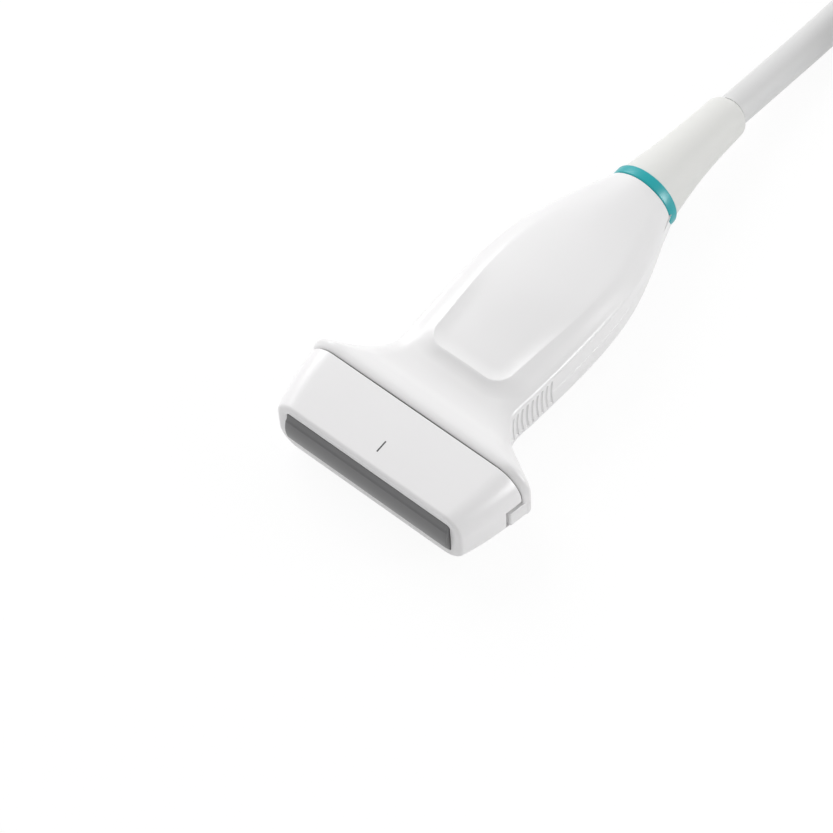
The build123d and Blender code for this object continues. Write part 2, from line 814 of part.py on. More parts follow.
def rounded_cord(points):
    """A round cord through chosen points: straight runs with an arc at each turn, and its arcs' radii."""
    ends = [Vector(*point) for point in points]
    runs = [after - before for before, after in zip(ends, ends[1:])]
    radii = []
    for before, after in zip(runs, runs[1:]):
        turn = math.radians(before.get_angle(after))
        radii.append(0.45 * min(before.length, after.length) / math.tan(turn / 2))
    with BuildPart() as cord:
        with BuildLine() as route:
            FilletPolyline(*points, radius=radii)
        with BuildSketch(Plane(origin=ends[0], z_dir=runs[0])):
            Circle(cable_radius)
        sweep(path=route.line)
    return cord.part, radii


def make_cable():
    """The free cable: the lead from the boot, the stored coil with its ties, and the tail to the plug."""
    layers = (
        (tie_thickness + cable_radius, lower_turns),
        (tie_thickness + cable_radius + stack_step, upper_turns),
    )
    coil_plane = Plane(origin=(coil_x, coil_y, 0), x_dir=(1, 0, 0), z_dir=(0, -1, 0))
    with BuildPart() as cable_coil:
        with BuildSketch(coil_plane):
            for height, shifts in layers:
                with Locations([(coil_radius + shift * cable_radius, height) for shift in shifts]):
                    Circle(cable_radius)
            make_hull()
        revolve(axis=Axis((coil_x, coil_y, 0), (0, 0, 1)))
    cable_coil.part.label = "cable_coil"
    export_step(cable_coil.part, "parts/cable_coil.step")

    with BuildPart() as coil_ties:
        for angle in tie_angles:
            outward = Vector(math.cos(math.radians(angle)), math.sin(math.radians(angle)), 0)
            across = outward.cross(Vector(0, 0, 1))
            origin = Vector(coil_x, coil_y, 0) + across * (-tie_width / 2)
            with BuildSketch(Plane(origin=origin, x_dir=outward, z_dir=across)):
                for height, shifts in layers:
                    with Locations([(coil_radius + shift * cable_radius, height) for shift in shifts]):
                        Circle(cable_radius + tie_thickness)
                make_hull()
            extrude(amount=tie_width)
        add(cable_coil.part, mode=Mode.SUBTRACT)
    coil_ties.part.label = "coil_ties"
    export_step(coil_ties.part, "parts/coil_ties.step")

    leads = (("cable_lead", cable_lead_points), ("cable_tail", cable_tail_points))
    for name, points in leads:
        cord, radii = rounded_cord(points)
        print(name, "arc radii", [round(radius, 1) for radius in radii])
        with BuildPart() as lead:
            add(cord)
            add(cable_coil.part, mode=Mode.SUBTRACT)
        lead.part.label = name
        export_step(lead.part, f"parts/{name}.step")


def connector_plane(x):
    """Plane across the connector at a place along X: its X is the world's Y and its Y is up."""
    return Plane(origin=(x, connector_y, connector_axis_height), x_dir=(0, 1, 0), z_dir=(1, 0, 0))


def make_connector():
    """The connector at the cable's far end: boot, two shells, shroud, contacts, board and screws."""
    middle_height = connector_height / 2
    shell_x = connector_boot_x + connector_boot_length
    mating_x = shell_x + connector_length
    boot_flange_x = shell_x + connector_wall + fit
    with BuildPart() as connector_boot:
        for x, radius in ((connector_boot_x, connector_boot_radius), (shell_x, connector_boot_back_radius)):
            with BuildSketch(connector_plane(x)):
                Circle(radius)
        loft()
        fillet(connector_boot.edges().sort_by(Axis.X)[0], 1.0)
        with BuildSketch(connector_plane(shell_x)):
            Circle(connector_neck_radius)
        extrude(amount=connector_wall + fit)
        with BuildSketch(connector_plane(boot_flange_x)):
            Circle(connector_neck_radius + 1.5)
        extrude(amount=connector_boot_flange)
        with BuildSketch(connector_plane(connector_boot_x)):
            Circle(cable_radius + seat)
        extrude(amount=connector_cable_length, mode=Mode.SUBTRACT)
    connector_boot.part.label = "connector_boot"
    export_step(connector_boot.part, "parts/connector_boot.step")

    with BuildPart() as connector_cable_end:
        with BuildSketch(connector_plane(connector_boot_x)):
            Circle(cable_radius)
        extrude(amount=connector_cable_length)
    connector_cable_end.part.label = "connector_cable_end"
    export_step(connector_cable_end.part, "parts/connector_cable_end.step")

    flange_x = mating_x - connector_wall - shroud_flange_thickness - fit
    inner_half_width = connector_half_width - connector_wall
    inner_half_height = middle_height - connector_wall
    screw_places = [
        (x, connector_y + side * connector_screw_y)
        for x in (shell_x + connector_screw_inset, flange_x - connector_boss_radius - 1)
        for side in (-1, 1)
    ]
    for name, side in (("connector_shell_upper", 1), ("connector_shell_lower", -1)):
        with BuildPart() as connector_shell:
            with BuildSketch(Plane.XY.offset(connector_axis_height)):
                with Locations((shell_x + connector_length / 2, connector_y)):
                    RectangleRounded(connector_length, 2 * connector_half_width, connector_corner)
            extrude(amount=side * middle_height)
            outer_face = connector_shell.faces().sort_by(Axis.Z)[-1 if side > 0 else 0]
            fillet(outer_face.edges(), connector_edge)
            with BuildSketch(Plane.XY.offset(connector_axis_height)):
                with Locations((shell_x + connector_length / 2, connector_y)):
                    inside = (connector_length - 2 * connector_wall, 2 * inner_half_width)
                    RectangleRounded(*inside, connector_corner - connector_wall)
            extrude(amount=side * inner_half_height, mode=Mode.SUBTRACT)
            with BuildSketch(Plane.XY.offset(connector_axis_height)):
                with Locations(screw_places):
                    Circle(connector_boss_radius)
            extrude(amount=side * (inner_half_height + connector_wall / 2))
            with BuildSketch(Plane.XY.offset(connector_axis_height)):
                with Locations(screw_places):
                    Circle(connector_screw_radius + fit)
            depth = connector_screw_end if side > 0 else middle_height
            extrude(amount=side * depth, mode=Mode.SUBTRACT)
            if side < 0:
                with BuildSketch(Plane.XY.offset(connector_base)):
                    with Locations(screw_places):
                        Circle(connector_screw_head + fit)
                extrude(amount=connector_screw_seat, mode=Mode.SUBTRACT)
            with BuildSketch(connector_plane(shell_x - 1)):
                Circle(connector_neck_radius + fit)
            extrude(amount=connector_wall + 2, mode=Mode.SUBTRACT)
            with BuildSketch(connector_plane(mating_x - connector_wall - 1)):
                window = (2 * (shroud_half_width + fit), 2 * (shroud_half_height + fit))
                RectangleRounded(*window, shroud_corner + fit)
            extrude(amount=connector_wall + 2, mode=Mode.SUBTRACT)
        connector_shell.part.label = name
        export_step(connector_shell.part, f"parts/{name}.step")

    with BuildPart() as connector_screws:
        with BuildSketch(Plane.XY.offset(connector_base + connector_screw_seat)):
            with Locations(screw_places):
                Circle(connector_screw_radius)
        extrude(amount=middle_height - connector_screw_seat + connector_screw_end - 1)
        with BuildSketch(Plane.XY.offset(connector_base + connector_screw_seat)):
            with Locations(screw_places):
                Circle(connector_screw_head)
        extrude(amount=-connector_screw_head_height)
    connector_screws.part.label = "connector_screws"
    export_step(connector_screws.part, "parts/connector_screws.step")

    inside = (shroud_half_width - shroud_wall, shroud_half_height - shroud_wall)
    with BuildPart() as connector_shroud:
        with BuildSketch(connector_plane(flange_x)):
            flange = (2 * (shroud_half_width + 1.5), 2 * (shroud_half_height + 1.5))
            RectangleRounded(*flange, shroud_corner + 1)
        extrude(amount=shroud_flange_thickness)
        with BuildSketch(connector_plane(flange_x)):
            RectangleRounded(2 * shroud_half_width, 2 * shroud_half_height, shroud_corner)
        extrude(amount=mating_x + shroud_length - flange_x)
        with BuildSketch(connector_plane(flange_x)):
            RectangleRounded(2 * inside[0], 2 * inside[1], shroud_corner - shroud_wall)
        extrude(amount=mating_x + shroud_length - flange_x, mode=Mode.SUBTRACT)
    connector_shroud.part.label = "connector_shroud"
    export_step(connector_shroud.part, "parts/connector_shroud.step")

    block_face_x = mating_x + shroud_length - contact_recess
    with BuildPart() as contact_block:
        with BuildSketch(connector_plane(flange_x)):
            RectangleRounded(2 * (inside[0] - fit), 2 * (inside[1] - fit), shroud_corner - shroud_wall)
        extrude(amount=block_face_x - flange_x)
    contact_block.part.label = "contact_block"
    export_step(contact_block.part, "parts/contact_block.step")

    with BuildPart() as contact_pins:
        with BuildSketch(connector_plane(block_face_x)):
            with GridLocations(contact_pitch, contact_pitch, contact_columns, contact_rows):
                Rectangle(contact_size, contact_size)
        extrude(amount=contact_length)
    contact_pins.part.label = "contact_pins"
    export_step(contact_pins.part, "parts/contact_pins.step")

    with BuildPart() as connector_board:
        with BuildSketch(connector_plane(flange_x - connector_board_length)):
            Rectangle(2 * connector_board_half_width, board_thickness)
        extrude(amount=connector_board_length)
    connector_board.part.label = "connector_board"
    export_step(connector_board.part, "parts/connector_board.step")


make_nose()
make_array()
make_electronics()
make_cable_end()
make_tail()
make_housing()
make_cable()
make_connector()
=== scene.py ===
# %% [markdown]
# # A linear ultrasound probe, dressed for its portrait
#
# The probe is a hand-held instrument: a wide white nose with a grey silicone lens, a waisted handle with
# raised thumb panels and ribbed sides, a teal ring, a soft boot and a long cable with a plug. Its solids come
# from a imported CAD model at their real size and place. In this lesson the visible skins are modelled afresh
# as smooth meshes over those solids, every piece gets its finish, and the set is lit as a product picture.

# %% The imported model
import json
import math

import bpy
from mathutils import Matrix, Vector


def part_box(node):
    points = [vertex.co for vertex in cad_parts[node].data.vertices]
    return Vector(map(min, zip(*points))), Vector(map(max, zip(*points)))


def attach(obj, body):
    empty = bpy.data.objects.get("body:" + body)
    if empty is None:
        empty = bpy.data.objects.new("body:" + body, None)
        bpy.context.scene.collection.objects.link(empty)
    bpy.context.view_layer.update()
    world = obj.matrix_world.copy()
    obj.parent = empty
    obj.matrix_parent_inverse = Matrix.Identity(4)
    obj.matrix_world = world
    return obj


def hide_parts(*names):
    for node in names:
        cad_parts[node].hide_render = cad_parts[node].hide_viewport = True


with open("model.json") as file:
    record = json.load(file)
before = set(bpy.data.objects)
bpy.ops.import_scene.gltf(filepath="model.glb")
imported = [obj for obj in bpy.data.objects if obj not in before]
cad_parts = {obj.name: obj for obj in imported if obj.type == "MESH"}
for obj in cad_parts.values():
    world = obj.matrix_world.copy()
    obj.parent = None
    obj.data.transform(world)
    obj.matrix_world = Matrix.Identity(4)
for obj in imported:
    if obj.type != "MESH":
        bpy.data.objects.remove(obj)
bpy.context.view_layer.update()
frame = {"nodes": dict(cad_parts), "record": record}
MM = 0.001

# %% [markdown]
# ## Where things are
#
# A probe is drawn along its own axis, so places here are stations: millimetres along X from the front rim of
# the nose. Two numbers tie the stations to the model: where the rim is, and how high the axis lies over the
# table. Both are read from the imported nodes, so the skins follow the solids.

# %% Stations and the axis
nose_low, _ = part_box("nose_shell")
ring_low, ring_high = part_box("accent_ring")
rim_x = nose_low.x / MM
axis_z = (ring_low.z + ring_high.z) / 2 / MM
print("front rim at x", round(rim_x, 2), "mm, axis at z", round(axis_z, 2), "mm")


def at(station, y, z):
    """A point given by its station, and by its distances from the axis in millimetres."""
    return Vector((rim_x + station, y, axis_z + z)) * MM


# %% [markdown]
# ## Camera
#
# The photograph was taken from well above the lens end with a long lens: edges that are parallel on the
# probe stay nearly parallel in the picture. So the camera stands 0.7 m away with a focal length of 153 mm,
# turned 46 degrees round the probe, 58 degrees up and rolled by four. It aims at a point near the nose.

# %% The camera
view_azimuth = math.radians(46.36)
view_elevation = math.radians(57.67)
view_roll = math.radians(4.26)
view_aim = Vector((-43.9, -0.5, 15.4)) * MM
view_distance = 0.70
focal_length = 152.9

camera_turn = (
    Matrix.Rotation(-view_azimuth, 4, "Z")
    @ Matrix.Rotation(math.pi / 2 - view_elevation, 4, "X")
    @ Matrix.Rotation(-view_roll, 4, "Z")
)
camera_place = view_aim + camera_turn.to_3x3() @ Vector((0, 0, view_distance))
bpy.ops.object.camera_add(location=camera_place, rotation=camera_turn.to_euler())
camera = bpy.context.active_object
camera.name = "portrait_camera"
camera.data.lens = focal_length
camera.data.sensor_width = 36.0
camera.data.clip_start = 0.01
bpy.context.scene.camera = camera
print("camera at", tuple(round(v, 3) for v in camera_place))

# %% [markdown]
# ## Small helpers
#
# A value that changes from one level to another starts and ends gently, so the easing is a helper. Operators
# act on what is selected, so each step first clears the selection. A finished piece rides on the model,
# stands for the solids it covers, and takes its material.

# %% Easing
def clamp(value):
    return max(0.0, min(1.0, value))


def ease(share):
    """A share of the way from 0 to 1 that starts and ends gently, and stays 0 or 1 outside it."""
    share = clamp(share)
    return share * share * (3 - 2 * share)


def ramp(value, low, high):
    """0 below low, 1 above high, and smooth between them."""
    return ease((value - low) / (high - low))


# %% Selecting and finishing
def pick(*objects):
    """Select only these objects, and make the first of them the active one."""
    bpy.ops.object.select_all(action="DESELECT")
    for thing in objects:
        thing.select_set(True)
    bpy.context.view_layer.objects.active = objects[0]


def edit(thing):
    """Enter edit mode on one object with all of it selected."""
    pick(thing)
    bpy.ops.object.mode_set(mode="EDIT")
    bpy.ops.mesh.select_all(action="SELECT")


def leave_edit():
    bpy.ops.object.mode_set(mode="OBJECT")


def apply_modifier(thing, kind, **settings):
    """Add a modifier with its settings and apply it at once."""
    pick(thing)
    modifier = thing.modifiers.new(kind.lower(), kind)
    for setting, value in settings.items():
        setattr(modifier, setting, value)
    bpy.ops.object.modifier_apply(modifier=modifier.name)


def add_box(middle, size):
    """A box at a middle given as station, y and z, with its size in millimetres."""
    bpy.ops.mesh.primitive_cube_add(size=1.0)
    box = bpy.context.active_object
    box.data.transform(Matrix.Translation(at(*middle)) @ Matrix.Diagonal((*(v * MM for v in size), 1)))
    return box


def shade(thing, angle):
    """Smooth shading that keeps edges sharper than an angle crisp."""
    pick(thing)
    bpy.ops.object.shade_smooth_by_angle(angle=math.radians(angle))


def finish(thing, material, nodes=()):
    """Give a piece its material, its ride and the solids that it stands for."""
    thing.data.materials.clear()
    thing.data.materials.append(material)
    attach(thing, "root")
    if nodes:
        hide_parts(*nodes)
    print(thing.name, "faces", len(getattr(thing.data, "polygons", ())))


# %% [markdown]
# ## Finishes
#
# Nearly everything outside is moulded, and moulded plastic is never perfectly even: the mould's spark-eroded
# skin leaves a fine grain, and the gloss drifts a little from place to place. One node group makes both from
# noise on object coordinates, and each material places it with its own grain size and strength.

# %% The moulded skin group
def moulded_skin_group():
    group = bpy.data.node_groups.new("moulded_skin", "ShaderNodeTree")
    socket = group.interface.new_socket
    settings = (("Grain Size", 1.0, 3000.0), ("Grain Depth", 0.0, 0.05), ("Gloss Drift", 0.0, 0.05))
    for name, low, value in settings:
        entry = socket(name, in_out="INPUT", socket_type="NodeSocketFloat")
        entry.default_value = value
        entry.min_value = low
    socket("Roughness", in_out="INPUT", socket_type="NodeSocketFloat").default_value = 0.35
    socket("Color", in_out="INPUT", socket_type="NodeSocketColor")
    socket("Tint", in_out="OUTPUT", socket_type="NodeSocketColor")
    socket("Roughness", in_out="OUTPUT", socket_type="NodeSocketFloat")
    socket("Normal", in_out="OUTPUT", socket_type="NodeSocketVector")
    nodes, links = group.nodes, group.links
    entry, leave = nodes.new("NodeGroupInput"), nodes.new("NodeGroupOutput")
    place = nodes.new("ShaderNodeTexCoord")
    grain, drift = nodes.new("ShaderNodeTexNoise"), nodes.new("ShaderNodeTexNoise")
    grain.inputs["Detail"].default_value = 3.0
    drift.inputs["Scale"].default_value = 60.0
    drift.inputs["Detail"].default_value = 2.0
    bump = nodes.new("ShaderNodeBump")
    bump.inputs["Distance"].default_value = 0.0001
    centred, spread, gloss = (nodes.new("ShaderNodeMath") for _ in range(3))
    centred.operation, spread.operation, gloss.operation = "SUBTRACT", "MULTIPLY", "ADD"
    centred.inputs[1].default_value = 0.5
    tone = nodes.new("ShaderNodeMapRange")
    tone.inputs["To Min"].default_value = 0.975
    tone.inputs["To Max"].default_value = 1.0
    tint = nodes.new("ShaderNodeMix")
    tint.data_type, tint.blend_type = "RGBA", "MULTIPLY"
    tint.inputs["Factor"].default_value = 1.0
    for noise in (grain, drift):
        links.new(place.outputs["Object"], noise.inputs["Vector"])
    links.new(entry.outputs["Grain Size"], grain.inputs["Scale"])
    links.new(grain.outputs["Fac"], bump.inputs["Height"])
    links.new(entry.outputs["Grain Depth"], bump.inputs["Strength"])
    links.new(drift.outputs["Fac"], centred.inputs[0])
    links.new(centred.outputs[0], spread.inputs[0])
    links.new(entry.outputs["Gloss Drift"], spread.inputs[1])
    links.new(spread.outputs[0], gloss.inputs[0])
    links.new(entry.outputs["Roughness"], gloss.inputs[1])
    links.new(drift.outputs["Fac"], tone.inputs["Value"])
    links.new(entry.outputs["Color"], tint.inputs["A"])
    links.new(tone.outputs["Result"], tint.inputs["B"])
    links.new(tint.outputs["Result"], leave.inputs["Tint"])
    links.new(gloss.outputs[0], leave.inputs["Roughness"])
    links.new(bump.outputs["Normal"], leave.inputs["Normal"])
    return group


moulded_skin = moulded_skin_group()


# %% A moulded material
def moulded(name, color, roughness, grain_size=3000.0, grain_depth=0.05, gloss_drift=0.06, **shader_values):
    """A plastic or rubber: one Principled shader, with the moulded skin feeding what changes over it."""
    material = bpy.data.materials.new(name)
    material.use_nodes = True
    nodes, links = material.node_tree.nodes, material.node_tree.links
    shader = nodes["Principled BSDF"]
    skin = nodes.new("ShaderNodeGroup")
    skin.node_tree = moulded_skin
    skin.inputs["Color"].default_value = (*color, 1.0)
    skin.inputs["Grain Size"].default_value = grain_size
    skin.inputs["Grain Depth"].default_value = grain_depth
    skin.inputs["Gloss Drift"].default_value = gloss_drift
    skin.inputs["Roughness"].default_value = roughness
    links.new(skin.outputs["Tint"], shader.inputs["Base Color"])
    links.new(skin.outputs["Roughness"], shader.inputs["Roughness"])
    links.new(skin.outputs["Normal"], shader.inputs["Normal"])
    for socket, value in shader_values.items():
        shader.inputs[socket.replace("_", " ")].default_value = value
    material.diffuse_color = (*color, 1.0)
    return material


white_shell = moulded("white_shell", (0.79, 0.785, 0.788), 0.33)
# The nose's white is lighter than the shell's white: painted light, which makes the nose read brighter than
# the handle.
nose_white_painted_light = moulded("nose_white_painted_light", (0.82, 0.813, 0.818), 0.34, grain_size=2200.0, grain_depth=0.10)
lens_grey = moulded("lens_grey", (0.15, 0.15, 0.153), 0.42, grain_size=4000.0, grain_depth=0.04)
seal_grey = moulded("seal_grey", (0.2, 0.195, 0.19), 0.6)
ring_teal = moulded("ring_teal", (0.0, 0.34, 0.37), 0.34, grain_depth=0.03)
boot_white = moulded(
    "boot_white", (0.70, 0.70, 0.682), 0.5, grain_size=1800.0, grain_depth=0.12, gloss_drift=0.1
)
jacket_white = moulded("jacket_white", (0.64, 0.64, 0.64), 0.42, grain_size=1500.0, grain_depth=0.08)

# %% [markdown]
# ## The cable
#
# A free cable is one smooth line, so it is one NURBS spline with a round bevel. It leaves the boot, sags to
# the table and runs out of the picture. The rest of its 1.8 m is put away there: four turns on the table and
# two and a bit in the grooves between them, and from the top turn the cable rises to its plug, which lies on
# the coil. A spline of order three cuts inside its points, so the turns' points stand a little further out.

# %% The cable's route
cable_diameter = 7.5 * MM
cable_radius = cable_diameter / 2
lead_points = [
    (59.5, 0.0, 7.15), (76.0, -0.4, 5.1), (91.0, -1.0, 3.9), (104.0, -1.6, 3.75),
    (117.0, 3.4, 3.8), (129.5, 14.6, 4.0), (141.5, 22.0, 4.5),
]
tail_points = [
    (151.0, -70.0, 18.95), (121.5, -70.0, 19.1), (100.7, -49.2, 20.8),
    (100.7, -19.8, 24.2), (121.5, 1.0, 27.4), (147.7, 1.0, 28.4),
]

coil_low, coil_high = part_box("cable_coil")
coil_middle = (coil_low + coil_high) / 2
coil_radius = 37.5 * MM
lower_level = coil_low.z + cable_radius
upper_level = lower_level + math.sqrt(3) * cable_radius
top_level = upper_level + 2 * cable_radius
# each lane: cable radii from the middle of the bundle, and its height
lanes = [(3, lower_level), (1, lower_level), (-1, lower_level), (-3, lower_level)]
lanes += [(-2, upper_level), (0, upper_level), (2, upper_level), (2.1, top_level)]
# the turn in whose course the cable passes on to the next lane
passing = [0.75, 1.75, 2.75, 3.5, 4.5, 5.5, 6.33]
passing_length = [0.5, 0.5, 0.5, 0.5, 0.5, 0.5, 0.26]
points_per_turn, coil_turns = 24, 6.42
step = 2 * math.pi / points_per_turn
outward_help = 4 / (3 + math.cos(step))


def strand(turn):
    """Where the coiled cable is after a number of turns: its radius, its angle and its height."""
    lane, level = lanes[0]
    for number, (middle, length) in enumerate(zip(passing, passing_length)):
        share = ease((turn - middle) / length + 0.5)
        lane += share * (lanes[number + 1][0] - lanes[number][0])
        level += share * (lanes[number + 1][1] - lanes[number][1])
    return coil_radius + lane * cable_radius, math.pi / 2 - turn * 2 * math.pi, level


route = [Vector(p) * MM for p in lead_points]
for number in range(int(coil_turns * points_per_turn) + 1):
    radius, angle, level = strand(number / points_per_turn)
    x = coil_middle.x + outward_help * radius * math.cos(angle)
    y = coil_middle.y + outward_help * radius * math.sin(angle)
    route.append(Vector((x, y, level)))
route += [Vector(p) * MM for p in tail_points]
print("points on the cable's spline", len(route))

# %% The cable itself
cable_curve = bpy.data.curves.new("cable", "CURVE")
cable_curve.dimensions = "3D"
cable_curve.bevel_depth = cable_radius
cable_curve.bevel_resolution = 7
cable_curve.resolution_u = 6
cable_curve.use_fill_caps = True
spline = cable_curve.splines.new("NURBS")
spline.points.add(len(route) - 1)
for point, place in zip(spline.points, route):
    point.co = (*place, 1.0)
spline.order_u = 3
spline.use_endpoint_u = True
cable = bpy.data.objects.new("cable", cable_curve)
bpy.context.scene.collection.objects.link(cable)
finish(cable, jacket_white, ("cable_lead", "cable_coil", "cable_tail"))

# %% [markdown]
# ## Skins from a grid
#
# The nose, the handle, the boot and the straps are all the same idea: outlines at a number of stations with
# a skin over them. A grid primitive has exactly the right topology for that. Its rows become the stations,
# its columns run round the outline, and where it closes on itself its doubled points are merged.

# %% Wrapping a grid
def wrap_grid(name, rows, columns, place, closed_rows=False, closed_columns=False):
    """A grid whose point (row, column) moves to place(row, column); closed ways are merged."""
    bpy.ops.mesh.primitive_grid_add(x_subdivisions=rows - 1, y_subdivisions=columns - 1, size=1.0)
    skin = bpy.context.active_object
    skin.name = skin.data.name = name
    for vertex in skin.data.vertices:
        row = round((vertex.co.x + 0.5) * (rows - 1))
        column = round((vertex.co.y + 0.5) * (columns - 1))
        if closed_rows:
            row %= rows - 1
        if closed_columns:
            column %= columns - 1
        vertex.co = place(row, column)
    edit(skin)
    bpy.ops.mesh.remove_doubles(threshold=1e-7)
    bpy.ops.mesh.normals_make_consistent(inside=False)
    leave_edit()
    return skin


corner_begins, corner_ends = 0.3, 0.75


def rounded_outline(share, half_width, half_height, corner):
    """A point on a rounded rectangle; each corner takes the same share of the way round at any size."""
    corner = max(0.01, min(corner, half_width, half_height))
    quarter, along = divmod((share % 1.0) * 4, 1.0)
    centre_y, centre_z = half_width - corner, half_height - corner
    if along < corner_begins:
        turn, slide = 0.0, along / corner_begins
    elif along < corner_ends:
        turn, slide = (along - corner_begins) / (corner_ends - corner_begins) * math.pi / 2, 1.0
    else:
        turn, slide = math.pi / 2, 1.0 + (along - corner_ends) / (1 - corner_ends)
    if quarter in (0, 2):
        y = centre_y + corner * math.cos(turn) if slide <= 1 else centre_y * (2 - slide)
        z = centre_z * min(slide, 1.0) + corner * math.sin(turn)
    else:
        y = -(centre_y * min(slide, 1.0) + corner * math.sin(turn))
        z = centre_z + corner * math.cos(turn) if slide <= 1 else centre_z * (2 - slide)
    return (y, z) if quarter < 2 else (-y, -z)


# %% [markdown]
# ## Nose
#
# The nose is one moulded cap. It flares from the lens to the seam, its flat top meets the ends in large
# radii, and the rim round the lens is a narrow flat land with a soft edge. Its section is drawn once as a
# closed chain of outlines: window, land, rim, flank, seam, spigot and the hollow inside. The pockets for the
# handle's two tongues are cut afterwards with a Boolean, as a mould's core would leave them.

# %% The nose's outlines
nose_length = 14.7
rim = (23.8, 7.0, 4.6)
flank_station, flank = 7.5, (26.0, 7.75, 5.4)
seam = (27.3, 8.3, 6.3)
rim_edge = 0.7
window = (21.1, 4.7, 0.8)
window_depth = 1.6
# how far the window's edge is widened at each station, and how far the seam's soft edge is drawn in
window_edge = ((window_depth, 0.0), (0.3, 0.0), (0.1, 0.02), (0.02, 0.1), (0.0, 0.22))
seam_edge = ((14.63, 0.02), (nose_length, 0.09))
spigot_inset, hollow_inset, spigot_length = 2.1, 3.5, 1.8


def nose_outline(station, inset=0.0):
    """The outside of the nose at a station, drawn in by an inset: a parabola through three outlines."""
    a, b, c = 0.0, flank_station, nose_length
    shares = (
        (station - b) * (station - c) / ((a - b) * (a - c)),
        (station - a) * (station - c) / ((b - a) * (b - c)),
        (station - a) * (station - b) / ((c - a) * (c - b)),
    )
    w, h, r = (sum(k * outline[i] for k, outline in zip(shares, (rim, flank, seam))) for i in range(3))
    return w - inset, h - inset, max(r - 0.7 * inset, 0.5)


nose_rows = [(station, *(v + wider for v in window)) for station, wider in window_edge]
for number in range(10):
    turn = number / 9 * math.pi / 2
    station = rim_edge * (1 - math.cos(turn))
    nose_rows.append((station, *nose_outline(station, rim_edge * (1 - math.sin(turn)))))
nose_rows += [(station, *nose_outline(station)) for station in [1.0 + 0.5 * n for n in range(28)]]
nose_rows += [(station, *nose_outline(station, inset)) for station, inset in seam_edge]
spigot, hollow = nose_outline(nose_length, spigot_inset), nose_outline(nose_length, hollow_inset)
spigot_end = nose_length + spigot_length
nose_rows += [(nose_length, *spigot), (spigot_end, *spigot), (spigot_end, *hollow), (nose_length, *hollow)]
nose_rows += [(8.0, *nose_outline(8.0, 2.6)), (window_depth, *nose_outline(window_depth, 1.9))]
nose_columns = 241


def nose_point(row, column):
    station, w, h, r = nose_rows[row]
    y, z = rounded_outline(column / (nose_columns - 1), w, h, r)
    return at(station, y, z)


nose = wrap_grid("nose_shell_skin", len(nose_rows) + 1, nose_columns, nose_point, True, True)

# %% The tongues' pockets
tongue_front, tongue_outside, tongue_thickness = 11.3, 27.75, 1.9
tongue_heights = {1: 0.75, -1: 3.6}
pocket_gap, pocket_low, pocket_high = 0.75, -3.9, 1.85
pocket_start, pocket_floor = tongue_front - pocket_gap, tongue_outside - tongue_thickness - 0.5
pocket_length, pocket_depth = nose_length + 2.0 - pocket_start, 4.0
pocket_middle = (pocket_low + pocket_high) / 2
for side in (-1, 1):
    cutter = add_box(
        (pocket_start + pocket_length / 2, side * (pocket_floor + pocket_depth / 2), pocket_middle),
        (pocket_length, pocket_depth, pocket_high - pocket_low),
    )
    apply_modifier(nose, "BOOLEAN", object=cutter, operation="DIFFERENCE", solver="EXACT")
    bpy.data.objects.remove(cutter)
shade(nose, 40)

# %% [markdown]
# The short line on top of the nose marks the middle of the scan. On the real one it is pad-printed ink, a
# few microns high, so it is painted by the material: a box drawn on object coordinates, softened as ink is.

# %% The nose's material
mark_half_height, ink_edge = 0.003, 0.00004


def print_mark(material, middle, half_length, half_width, ink):
    """Print a short line on a material, by its place on the top of a piece."""
    nodes, links = material.node_tree.nodes, material.node_tree.links
    shader = nodes["Principled BSDF"]
    place = nodes.new("ShaderNodeTexCoord")
    centred = nodes.new("ShaderNodeMapping")
    centred.inputs["Location"].default_value = -middle
    split_place = nodes.new("ShaderNodeSeparateXYZ")
    links.new(place.outputs["Object"], centred.inputs["Vector"])
    links.new(centred.outputs["Vector"], split_place.inputs["Vector"])
    masks = []
    for axis, half in (("X", half_length), ("Y", half_width), ("Z", mark_half_height)):
        size = nodes.new("ShaderNodeMath")
        size.operation = "ABSOLUTE"
        edge = nodes.new("ShaderNodeMapRange")
        edge.inputs["From Min"].default_value = half - ink_edge
        edge.inputs["From Max"].default_value = half + ink_edge
        edge.inputs["To Min"].default_value = 1.0
        edge.inputs["To Max"].default_value = 0.0
        links.new(split_place.outputs[axis], size.inputs[0])
        links.new(size.outputs[0], edge.inputs["Value"])
        masks.append(edge.outputs["Result"])
    mask = masks[0]
    for other in masks[1:]:
        both = nodes.new("ShaderNodeMath")
        both.operation = "MULTIPLY"
        links.new(mask, both.inputs[0])
        links.new(other, both.inputs[1])
        mask = both.outputs[0]
    plain = shader.inputs["Base Color"].links[0].from_socket
    printed = nodes.new("ShaderNodeMix")
    printed.data_type = "RGBA"
    printed.inputs["B"].default_value = (*ink, 1.0)
    links.new(mask, printed.inputs["Factor"])
    links.new(plain, printed.inputs["A"])
    links.new(printed.outputs["Result"], shader.inputs["Base Color"])


print_mark(nose_white_painted_light, at(4.6, 0.0, 8.0), 0.0014, 0.00016, (0.06, 0.06, 0.065))
finish(nose, nose_white_painted_light, ("nose_shell",))

# %% [markdown]
# ## Lens
#
# The lens is a strip of grey silicone: a crowned band down the middle, which focuses the sound, and two low
# flanks that meet the window. It is moulded to one section along its whole length, so that section is swept
# across the nose and its two ends are closed.

